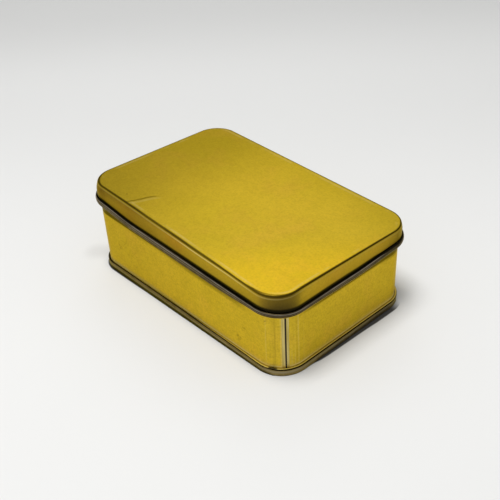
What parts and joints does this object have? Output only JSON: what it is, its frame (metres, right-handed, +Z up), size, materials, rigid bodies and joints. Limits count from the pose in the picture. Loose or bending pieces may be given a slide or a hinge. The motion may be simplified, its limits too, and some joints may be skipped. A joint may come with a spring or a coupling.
{
  "type": "rectangular tin",
  "caption": "Shut rectangular food tin with rounded corners, a slip lid sitting a little askew with a rolled edge, a side seam on one corner and a seamed-on bottom end.",
  "frame": {"origin": "centre of the bounding box's base, on the surface the tin stands on", "axes": "+X along the tin's length, +Y across its width, +Z up through the lid; the side seam is on the +X -Y corner"},
  "size_m": [0.1937, 0.1244, 0.0668],
  "materials": {
    "lid": "gold lacquer on tinplate, semi-gloss; the rolled edge is bare grey tinplate",
    "body": "gold lacquer on tinplate, semi-gloss, with unprinted strips beside the side seam",
    "bottom": "olive-gold lacquer on tinplate, semi-gloss, worn dark in its folds"
  },
  "bodies": {
    "root": {"lid": "lid", "body": "body", "bottom": "bottom"}
  },
  "joints": []
}
